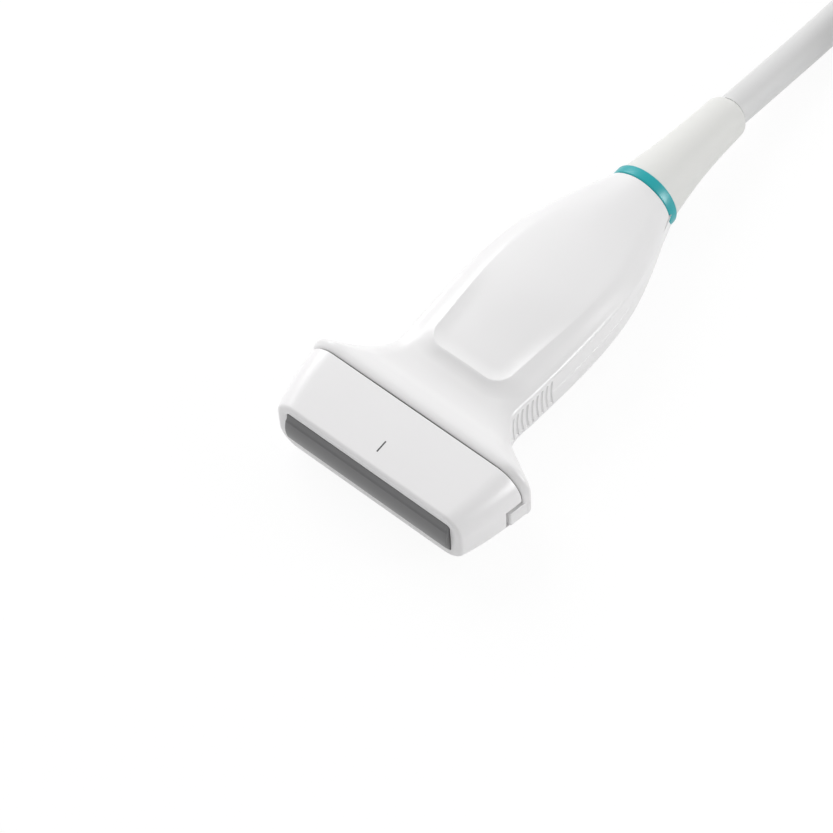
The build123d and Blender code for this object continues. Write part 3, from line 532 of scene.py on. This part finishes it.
# %% The lens
lens_half_length, lens_edge, band_edge = 21.0, 4.6, 2.7
lens_front, lens_step, lens_end_round = 1.2, 0.35, 0.3
lens_profile = []
for number in range(21):
    z = band_edge * (number / 10 - 1)
    lens_profile.append((-lens_front + lens_step * (z / band_edge) ** 2, z))
side_profile = [(-0.83, 2.82), (-0.74, 2.93), (-0.6, 3.02), (-0.5, 3.12), (-0.38, 3.5), (-0.22, 4.0)]
side_profile += [(-0.06, 4.45), (0.02, 4.56), (0.12, 4.6), (window_depth, 4.6), (window_depth, 0.0)]
lens_profile += side_profile
lens_profile += [(station, -z) for station, z in reversed(side_profile[:-1])]
lens_ends = (0.0, 0.1, 0.25, 0.45)
lens_rows = [-lens_half_length + v for v in lens_ends] + [-18.0 + 3.0 * n for n in range(13)]
lens_rows += [lens_half_length - v for v in reversed(lens_ends)]


def lens_point(row, column):
    y = lens_rows[row]
    station, z = lens_profile[column]
    tip = max(0.0, lens_ends[-1] - (lens_half_length - abs(y))) / lens_ends[-1]
    inset = lens_end_round * (1 - math.sqrt(1 - tip * tip))
    return at(min(station + inset, window_depth), y, z * (1 - inset / lens_edge))


lens = wrap_grid("lens_skin", len(lens_rows), len(lens_profile) + 1, lens_point, closed_columns=True)
edit(lens)
bpy.ops.mesh.select_mode(type="EDGE")
bpy.ops.mesh.select_all(action="DESELECT")
bpy.ops.mesh.select_non_manifold()
bpy.ops.mesh.edge_face_add()
bpy.ops.mesh.select_all(action="SELECT")
bpy.ops.mesh.normals_make_consistent(inside=False)
leave_edit()
shade(lens, 28)
finish(lens, lens_grey, ("acoustic_lens",))

# %% [markdown]
# ## Handle
#
# The handle's two halves are moulded shells. Fourteen sections say how wide the handle is, how high
# its side wall stands, where the shoulder lies and how the top crowns. Between the sections each value runs
# smoothly, so the skin can have as many rows as its finest detail needs. The rows are closest through the
# grip ribs, and there they follow the ribs' bow, so that every groove lies along the mesh.

# %% The handle's sections
section_table = [
    # station, half width, wall, shoulder, shoulder height, crown, lean, rise
    (14.95, 27.3, 2.0, 21.0, 8.25, 8.35, 0.0, 3.4),
    (15.5, 27.65, 2.2, 21.3, 8.65, 8.75, 0.0, 3.5),
    (16.9, 27.8, 2.4, 21.5, 8.75, 8.86, 0.0, 3.6),
    (19.0, 24.3, 3.4, 17.0, 8.0, 8.2, 0.1, 2.6),
    (21.6, 19.4, 4.6, 13.2, 7.0, 7.2, 0.6, 1.4),
    (24.3, 16.4, 5.0, 11.6, 6.5, 6.8, 1.4, 0.9),
    (27.5, 14.9, 5.1, 10.6, 6.5, 7.0, 1.8, 0.7),
    (34.0, 15.15, 5.2, 10.2, 6.8, 7.4, 2.0, 0.65),
    (48.0, 15.6, 5.3, 10.4, 7.1, 7.9, 2.0, 0.7),
    (58.0, 15.4, 5.0, 10.4, 7.3, 8.0, 1.8, 0.9),
    (66.0, 14.5, 4.4, 9.6, 7.2, 8.0, 1.2, 1.1),
    (73.0, 12.9, 2.9, 8.2, 7.1, 8.0, 0.5, 1.9),
    (80.0, 10.6, 1.4, 6.4, 7.0, 8.1, 0.1, 2.9),
    (86.8, 7.9, 0.5, 4.5, 6.5, 7.9, 0.0, 3.1),
]


def smooth_value(stations, values, station):
    """A value that runs smoothly through a table: each span is a cubic with its neighbours' slopes."""
    last = len(stations) - 1
    i = max(0, min(last - 1, sum(1 for s in stations if s <= station) - 1))

    def slope(k):
        low, high = max(0, k - 1), min(last, k + 1)
        return (values[high] - values[low]) / (stations[high] - stations[low])

    span = stations[i + 1] - stations[i]
    t = (station - stations[i]) / span
    return (
        (2 * t**3 - 3 * t**2 + 1) * values[i]
        + (t**3 - 2 * t**2 + t) * span * slope(i)
        + (3 * t**2 - 2 * t**3) * values[i + 1]
        + (t**3 - t**2) * span * slope(i + 1)
    )


def section_at(station):
    stations = [row[0] for row in section_table]
    return [smooth_value(stations, [row[k] for row in section_table], station) for k in range(1, 8)]


# %% [markdown]
# A section's quarter is four curves in one: the upright side wall, a small round at the crease, the turn over
# the shoulder, and the flat-crowned top. Points crowd together at the shoulder, where the panel's edge runs.

# %% Points round a section
wall_shares = [0.0, 0.012, 0.13, 0.27, 0.4, 0.52, 0.64, 0.75, 0.82, 0.86, 0.885, 0.91, 0.94, 0.97]
turn_shares = [n / 8 * 0.62 for n in range(8)] + [0.62 + n / 14 * 0.38 for n in range(14)]
top_shares = [n / 16 * 0.25 for n in range(16)] + [0.25 + n / 14 * 0.75 for n in range(15)]
crease_round, crease_points = 1.0, 9
least_rise, full_lean, shoulder_reach = 0.4, 1.4, 0.45
quarter_points = len(wall_shares) + crease_points + len(turn_shares) + len(top_shares)


def quarter_point(section, number):
    """Point number of a quarter section, from the parting plane up the side to the middle of the top."""
    w, h, c, zc, t, lean, rise = section
    h = min(h, zc - least_rise)
    rise = min(rise, zc - h)
    reach = shoulder_reach * (w - c)
    fall = reach * (t - zc) / (c / 2)
    radius = crease_round * min(1.0, lean / full_lean)
    corner = math.atan2(lean, rise)
    tangent = radius * math.tan(corner / 2)
    if number < len(wall_shares):
        return w, wall_shares[number] * (h - tangent)
    number -= len(wall_shares)
    if number < crease_points:
        turn = number / crease_points * corner
        return w - radius * (1 - math.cos(turn)), h - tangent + radius * math.sin(turn)
    number -= crease_points
    if number < len(turn_shares):
        u = turn_shares[number]
        k = ((1 - u) ** 3, 3 * u * (1 - u) ** 2, 3 * u * u * (1 - u), u**3)
        start = (w - tangent * math.sin(corner), h + tangent * math.cos(corner))
        corners = (start, (w - lean, h + rise), (c + reach, zc - fall), (c, zc))
        return sum(a * p[0] for a, p in zip(k, corners)), sum(a * p[1] for a, p in zip(k, corners))
    u = top_shares[number - len(turn_shares)]
    return c * (1 - u), zc * (1 - u) ** 2 + 2 * t * u * (1 - u) + t * u * u


# %% [markdown]
# The raised thumb panel is dished like a spoon: its rim stands up from the shoulders on a soft slope, and
# inside the rim the surface sinks a little for the thumb. Both fade out before the ring. The distance to the
# panel's outline tells each point how much of the slope and of the dish it gets.

# %% The thumb panel
panel_rise, panel_full, panel_fade = 0.9, 42.0, 72.0
panel_front, panel_corner, panel_front_width = 29.6, 4.5, 9.8
panel_stations = [34.1, 57.0, 70.0, 82.0]
panel_widths = [9.8, 11.4, 9.8, 4.6]
front_slope_length, side_slope_length = 3.0, 4.4
front_slope_power, side_power_less = 1.9, 0.6
dish_depth, dish_reach, dish_full, dish_fade = 0.7, 3.4, 37.0, 56.0


def panel_lift(station, y):
    """How much a point of the top is raised by the thumb panel's slopes and lowered by its dish."""
    y, aside = abs(y), 1.0
    if station < panel_stations[0]:
        inner = panel_front_width - panel_corner
        inside, aside = station - panel_front, 0.0
        if y > inner:
            inside = panel_corner - math.hypot(panel_stations[0] - station, y - inner)
            aside = math.atan2(y - inner, panel_stations[0] - station) / (math.pi / 2)
        inside = min(inside, panel_front_width - y)
    else:
        inside = smooth_value(panel_stations, panel_widths, min(station, panel_stations[-1])) - y
    slope_length = front_slope_length + aside * (side_slope_length - front_slope_length)
    climb = clamp(1 + inside / slope_length) ** (front_slope_power - side_power_less * aside)
    sunk = 1 - (1 - clamp(inside / dish_reach)) ** 2
    rise = panel_rise * (1 - ramp(station, panel_full, panel_fade)) * climb
    return rise - dish_depth * (1 - ramp(station, dish_full, dish_fade)) * sunk


# %% [markdown]
# The grip ribs are nine bowed grooves in each side wall. Their ends are round, as a ball-nosed cutter leaves
# them in the mould.

# %% The grip ribs
rib_count, rib_pitch, rib_start = 9, 1.45, 27.0
rib_half_width, rib_depth, rib_half_height, rib_bow = 0.28, 0.36, 4.0, 22.0
rib_run_out, rib_fullness = 0.06, 0.6


def bow(z):
    """How far the ribs' arcs lean towards the boot at a height."""
    z = min(abs(z), rib_half_height)
    return rib_bow - math.sqrt(rib_bow**2 - z**2)


def rib_cut(station, z):
    """The depth of the nearest groove at a point of the side wall."""
    number = max(0, min(rib_count - 1, round((station - rib_start) / rib_pitch)))
    along = station - rib_start - number * rib_pitch
    above = max(0.0, abs(z) - (rib_half_height - rib_half_width))
    distance = math.hypot(along, above) / (rib_half_width + rib_run_out)
    return rib_depth * (1 - distance**2) ** rib_fullness if distance < 1 else 0.0


# %% The handle's rows
row_stations = [14.95, 14.98, 15.05, 15.2, 15.5] + [15.8 + 0.3 * n for n in range(36)]
rib_steps = (-0.36, -0.33, -0.27, -0.18, -0.06, 0.06, 0.18, 0.27, 0.33, 0.36, 0.54, 0.91)
for number in range(rib_count):
    row_stations += [rib_start + number * rib_pitch + v for v in rib_steps]
row_stations += [39.85, 40.2] + [40.6 + 0.6 * n for n in range(77)]
row_stations += [86.45, 86.65, 86.75, 86.8]
front_rows = {14.95: 0.16, 14.98: 0.09, 15.05: 0.03, 15.2: 0.005}
back_rows = {86.8: 0.2, 86.75: 0.1, 86.65: 0.03}
bow_starts, bow_grows, bow_ends, bow_fades = 21.0, 5.0, 47.0, 7.0
parting_gap, parting_inset = 0.012, 0.05
print("rows", len(row_stations), "columns", 2 * quarter_points)


def handle_point(side, row, column):
    """A point of the upper (side 1) or lower (side -1) half of the handle."""
    station = row_stations[row]
    edge = front_rows.get(station, 0.0) + back_rows.get(station, 0.0)
    right = column < quarter_points
    number = column if right else 2 * quarter_points - 1 - column
    section = section_at(station)
    y, z = quarter_point(section, number)
    shift = bow(z) * ease(clamp((station - bow_starts) / bow_grows) * clamp((bow_ends - station) / bow_fades))
    if shift > 0:
        y, z = quarter_point(section_at(station + shift), number)
    cut, lift = rib_cut(station, z), panel_lift(station + shift, y)
    y = (y - cut) * (1 - edge / section[0])
    z = max(z + lift, 0.0) * (1 - edge / section[4])
    if number == 0:
        y, z = y - parting_inset, parting_gap
    return at(station + shift, y if right else -y, side * z)


# %% [markdown]
# Each half is wrapped on its grid, its open sides are given the wall's thickness, and its tongues are added.

# %% A tongue
tongue_back, tongue_bevel, tongue_tip, tongue_tuck = 18.0, 0.5, 27.05, 15.6
same_place = 1e-5


def tongue(half, end):
    """Half of one tongue: a flat bar, tucked into the handle, whose front is drawn in flush with the nose."""
    length, height = tongue_back - tongue_front, tongue_heights[half] - parting_gap
    side_middle = end * (tongue_outside - tongue_thickness / 2)
    piece = add_box(
        (tongue_front + length / 2, side_middle, half * (parting_gap + height / 2)),
        (length, tongue_thickness, height),
    )
    outside, flush = end * tongue_outside * MM, end * tongue_tip * MM
    for vertex in piece.data.vertices:
        if abs(vertex.co.y - outside) < same_place:
            if vertex.co.x > at(nose_length, 0, 0).x:
                vertex.co.x = at(tongue_tuck, 0, 0).x
            else:
                vertex.co.y = flush
    edit(piece)
    bpy.ops.mesh.normals_make_consistent(inside=False)
    leave_edit()
    front, top = at(tongue_front, 0, 0).x, at(0, 0, half * tongue_heights[half]).z
    piece.data.attributes.new("bevel_weight_edge", "FLOAT", "EDGE")
    weights = piece.data.attributes["bevel_weight_edge"]
    for edge in piece.data.edges:
        ends = [piece.data.vertices[v].co for v in edge.vertices]
        on_outside = all(min(abs(p.y - outside), abs(p.y - flush)) < same_place for p in ends)
        on_front = all(abs(p.x - front) < same_place for p in ends)
        on_top = all(abs(p.z - top) < same_place for p in ends)
        if on_outside and on_front:
            weights.data[edge.index].value = 1.0
        elif on_top and (on_outside or on_front):
            weights.data[edge.index].value = 0.35
    apply_modifier(piece, "BEVEL", width=tongue_bevel * MM, segments=6, limit_method="WEIGHT")
    return piece


# %% Both halves
housing_wall = 1.9


def handle_half(name, side):
    columns = 2 * quarter_points
    half = wrap_grid(name, len(row_stations), columns, lambda row, column: handle_point(side, row, column))
    top = max(half.data.polygons, key=lambda face: side * face.center.z)
    if top.normal.z * side < 0:
        edit(half)
        bpy.ops.mesh.flip_normals()
        leave_edit()
    apply_modifier(half, "SOLIDIFY", thickness=housing_wall * MM, offset=-1.0)
    tongues = [tongue(side, end) for end in (-1, 1)]
    pick(half, *tongues)
    bpy.ops.object.join()
    shade(half, 32)
    return half


upper_half = handle_half("handle_upper", 1)
lower_half = handle_half("handle_lower", -1)
finish(upper_half, white_shell, ("housing_upper",))
finish(lower_half, white_shell, ("housing_lower",))

# %% [markdown]
# ## Ring and boot
#
# A teal ring closes the handle. Behind it a soft boot keeps the cable from kinking: it tapers like a
# bottle's neck, droops a little under the cable's weight, and ends in a rounded lip. Both are turned shapes.

# %% The ring
tail_station, ring_width, ring_radius, ring_edge = 86.8, 2.5, 8.0, 0.35
bpy.ops.mesh.primitive_cylinder_add(vertices=128, radius=ring_radius * MM, depth=ring_width * MM)
ring = bpy.context.active_object
ring.name = ring.data.name = "teal_ring"
ring.data.transform(
    Matrix.Translation(at(tail_station + ring_width / 2, 0, 0)) @ Matrix.Rotation(math.pi / 2, 4, "Y")
)
edit(ring)
bpy.ops.mesh.select_mode(type="FACE")
bpy.ops.mesh.select_all(action="DESELECT")
leave_edit()
for face in ring.data.polygons:
    face.select = abs(face.normal.x) > 0.9
pick(ring)
bpy.ops.object.mode_set(mode="EDIT")
bpy.ops.mesh.bevel(offset=ring_edge * MM, segments=5, affect="EDGES")
leave_edit()
shade(ring, 40)
finish(ring, ring_teal, ("accent_ring",))

# %% The boot
boot_start, boot_length, boot_droop = 89.3, 28.7, math.radians(7.0)
boot_bend = boot_length / boot_droop
boot_radii = [(0.0, 7.5), (2.7, 7.1), (8.0, 6.35), (14.0, 5.7), (21.0, 5.25), (28.7, 4.95)]
boot_end_round, bore_radius = 2.1, 3.85
boot_rows = [(0.0, 4.2), (0.0, 7.3), (0.05, 7.42), (0.2, 7.48)]
boot_rows += [(0.5 + 0.65 * n, None) for n in range(40)]
for number in range(1, 9):
    turn = number / 8 * math.pi / 2
    distance = boot_length - boot_end_round * (1 - math.sin(turn))
    boot_rows.append((distance, -boot_end_round * (1 - math.cos(turn))))
boot_rows += [(boot_length - 0.12, bore_radius), (boot_length - 6.0, bore_radius)]
boot_rows += [(boot_length - 6.0, 4.0)]
boot_columns = 129


def boot_point(row, column):
    distance, radius = boot_rows[row]
    if radius is None or radius < 0:
        table_distances, table_radii = [d for d, _ in boot_radii], [r for _, r in boot_radii]
        radius = (radius or 0.0) + smooth_value(table_distances, table_radii, distance)
    turn, droop = column / (boot_columns - 1) * 2 * math.pi, distance / boot_bend
    upright = radius * math.cos(turn)
    return at(
        boot_start + boot_bend * math.sin(droop) + upright * math.sin(droop),
        radius * math.sin(turn),
        -boot_bend * (1 - math.cos(droop)) + upright * math.cos(droop),
    )


boot = wrap_grid("strain_boot", len(boot_rows) + 1, boot_columns, boot_point, True, True)
shade(boot, 50)
finish(boot, boot_white, ("strain_relief_boot",))

# %% [markdown]
# ## Straps on the coil
#
# Two hook-and-loop straps keep the coil together. A strap goes tight round the bundle, so its outline is the
# outline of the cables it holds, a strap's thickness further out. The two are one piece, as in the CAD.

# %% The straps
tie_thickness, tie_width = 1.2 * MM, 16.0 * MM
strap_columns, strap_rows = 97, 13
last_held_turn = 6.2
strap_black = moulded("strap_black", (0.035, 0.035, 0.04), 0.85, grain_size=900.0, grain_depth=0.5)


def strap(name, turn_share):
    """One strap round the bundle, at a share of a turn from where the cable arrives."""
    held = [strand(turn + turn_share) for turn in range(7) if turn + turn_share < last_held_turn]
    reach = cable_radius + 0.02 * MM

    def strap_point(row, column):
        across = (row / (strap_rows - 1) - 0.5) * tie_width / coil_radius
        turn = column / (strap_columns - 1) * 2 * math.pi
        out, up = math.cos(turn), math.sin(turn)
        radius, _, level = max(held, key=lambda place: place[0] * out + place[2] * up)
        angle = held[0][1] + across
        return Vector((
            coil_middle.x + (radius + reach * out) * math.cos(angle),
            coil_middle.y + (radius + reach * out) * math.sin(angle),
            level + reach * up,
        ))

    band = wrap_grid(name, strap_rows, strap_columns, strap_point, closed_columns=True)
    apply_modifier(band, "SOLIDIFY", thickness=tie_thickness, offset=1.0)
    sharp = math.radians(60)
    apply_modifier(band, "BEVEL", width=0.3 * MM, segments=3, limit_method="ANGLE", angle_limit=sharp)
    return band


straps = strap("coil_straps", 0.125)
second_strap = strap("second_strap", 0.625)
pick(straps, second_strap)
bpy.ops.object.join()
shade(straps, 50)
finish(straps, strap_black, ("coil_ties",))

# %% [markdown]
# ## What stays as the CAD has it
#
# The parts inside the probe and the plug are simple, exact solids, so they stay as they came, and each gets
# the finish of its slot.

# %% Finishes of the remaining nodes
remaining = {
    "nose_gasket": ("dark_gasket", seal_grey),
    "connector_boot": ("boot_rubber", boot_white),
    "connector_cable_end": ("cable_jacket", jacket_white),
}
plain_finishes = {}
for entry in frame["record"]["materials"]:
    plain_finishes[entry["slot"]] = entry


def slot_material(entry):
    """A finish for an inner part, made from its slot's colour and class."""
    kind = entry["class"]
    metal = kind in ("brass", "brushed_steel", "aluminium")
    roughness = {"gloss_plastic": 0.22, "rubber": 0.6, "brass": 0.28, "brushed_steel": 0.35, "aluminium": 0.4}
    values = {"Metallic": 1.0} if metal else {}
    return moulded(
        entry["slot"] + "_finish", tuple(entry["base_color"]), roughness.get(kind, 0.42),
        grain_size=2500.0, grain_depth=0.08, **values,
    )


finish_of = {}
for name, node in frame["nodes"].items():
    if node.hide_render:
        continue
    original = node.data.materials[0].name if node.data.materials else ""
    slot_name = next((s for s in plain_finishes if s in original), None)
    if name in remaining:
        material = remaining[name][1]
    elif slot_name:
        if slot_name not in finish_of:
            finish_of[slot_name] = slot_material(plain_finishes[slot_name])
        material = finish_of[slot_name]
    else:
        material = white_shell
    for index in range(len(node.data.materials)):
        node.data.materials[index] = material

# %% [markdown]
# ## Table and light
#
# The picture has a clean white ground and very soft light. The table is lit like any table, but for the eye
# of the camera most of its brightness is its own, so it stays white and still shows a faint shadow.

# %% White for the eye
def white_for_the_eye(nodes, links):
    """A mask: 1 for camera, glossy and transmission rays, 0 for the light that spreads."""
    rays = nodes.new("ShaderNodeLightPath")
    mask = rays.outputs["Is Camera Ray"]
    for kind in ("Is Glossy Ray", "Is Transmission Ray"):
        either = nodes.new("ShaderNodeMath")
        either.operation = "MAXIMUM"
        links.new(mask, either.inputs[0])
        links.new(rays.outputs[kind], either.inputs[1])
        mask = either.outputs[0]
    return mask


# %% The table
own_brightness = 0.9
bpy.ops.mesh.primitive_plane_add(size=6.0, location=(0.0, 0.0, 0.0))
table = bpy.context.active_object
table.name = table.data.name = "table"
paper = bpy.data.materials.new("white_paper")
paper.use_nodes = True
nodes, links = paper.node_tree.nodes, paper.node_tree.links
surface = nodes["Principled BSDF"]
surface.inputs["Base Color"].default_value = (0.88, 0.88, 0.88, 1.0)
surface.inputs["Roughness"].default_value = 0.9
glow = nodes.new("ShaderNodeEmission")
glow.inputs["Color"].default_value = (1.0, 1.0, 1.0, 1.0)
glow.inputs["Strength"].default_value = 1.02
share = nodes.new("ShaderNodeMath")
share.operation = "MULTIPLY"
share.inputs[1].default_value = own_brightness
links.new(white_for_the_eye(nodes, links), share.inputs[0])
blend = nodes.new("ShaderNodeMixShader")
links.new(share.outputs[0], blend.inputs["Fac"])
links.new(surface.outputs["BSDF"], blend.inputs[1])
links.new(glow.outputs["Emission"], blend.inputs[2])
links.new(blend.outputs["Shader"], nodes["Material Output"].inputs["Surface"])
table.data.materials.append(paper)

# %% [markdown]
# The world is a white tent, brightest round its foot behind the handle and darker overhead and in front,
# where the camera looks in. So the upright sides are lit nearly as well as the top. The eye and the gloss
# see it plain white. A large soft lamp on the left gives the direction and no glare, and a small one on
# the right lights the side wall. Two more, which only the gloss sees, draw the highlights along crease and
# corner.

# %% The white tent
bright_side = Vector((0.42, 0.0, -0.92))
middle_strength, strength_change = 0.86, 0.40
world = bpy.data.worlds.new("white_tent")
bpy.context.scene.world = world
world.use_nodes = True
nodes, links = world.node_tree.nodes, world.node_tree.links
tent = nodes["Background"]
tent.inputs["Color"].default_value = (1.0, 1.0, 1.0, 1.0)
direction, towards = nodes.new("ShaderNodeTexCoord"), nodes.new("ShaderNodeVectorMath")
towards.operation = "DOT_PRODUCT"
towards.inputs[1].default_value = bright_side
strength = nodes.new("ShaderNodeMath")
strength.operation = "MULTIPLY_ADD"
strength.inputs[1].default_value = strength_change
strength.inputs[2].default_value = middle_strength
links.new(direction.outputs["Generated"], towards.inputs[0])
links.new(towards.outputs["Value"], strength.inputs[0])
links.new(strength.outputs[0], tent.inputs["Strength"])
plain = nodes.new("ShaderNodeBackground")
plain.inputs["Color"].default_value = (1.0, 1.0, 1.0, 1.0)
choice = nodes.new("ShaderNodeMixShader")
links.new(white_for_the_eye(nodes, links), choice.inputs["Fac"])
links.new(tent.outputs["Background"], choice.inputs[1])
links.new(plain.outputs["Background"], choice.inputs[2])
links.new(choice.outputs["Shader"], nodes["World Output"].inputs["Surface"])


# %% The lamps
def soft_lamp(name, place, target, size, power):
    """A square area lamp at a place, turned to a target."""
    place, target = Vector(place), Vector(target)
    bpy.ops.object.light_add(type="AREA", location=place)
    lamp = bpy.context.active_object
    lamp.name = name
    lamp.rotation_euler = (target - place).to_track_quat("-Z", "Y").to_euler()
    lamp.data.size = size
    lamp.data.energy = power
    print(name, "at", tuple(place))
    return lamp


key_lamp = soft_lamp("key_lamp", (0.28, 0.88, 0.70), (0.0, 0.0, 0.0), 0.8, 8.2)
key_lamp.visible_glossy = False
soft_lamp("side_lamp", (0.22, -0.42, 0.20), (0.0, 0.0, 0.0), 0.2, 0.58)
highlights = (("crease_lamp", (0.14, -0.44, 0.21), 1.5), ("corner_lamp", (0.145, 0.43, 0.215), 0.6))
for lamp_name, lamp_place, power in highlights:
    gloss_lamp = soft_lamp(lamp_name, lamp_place, (-0.03, 0.0, 0.01), 0.2, power)
    gloss_lamp.visible_diffuse = False

# %% [markdown]
# ## View settings
#
# Colours are shown as they are.

# %% Last settings
bpy.context.scene.view_settings.view_transform = "Standard"
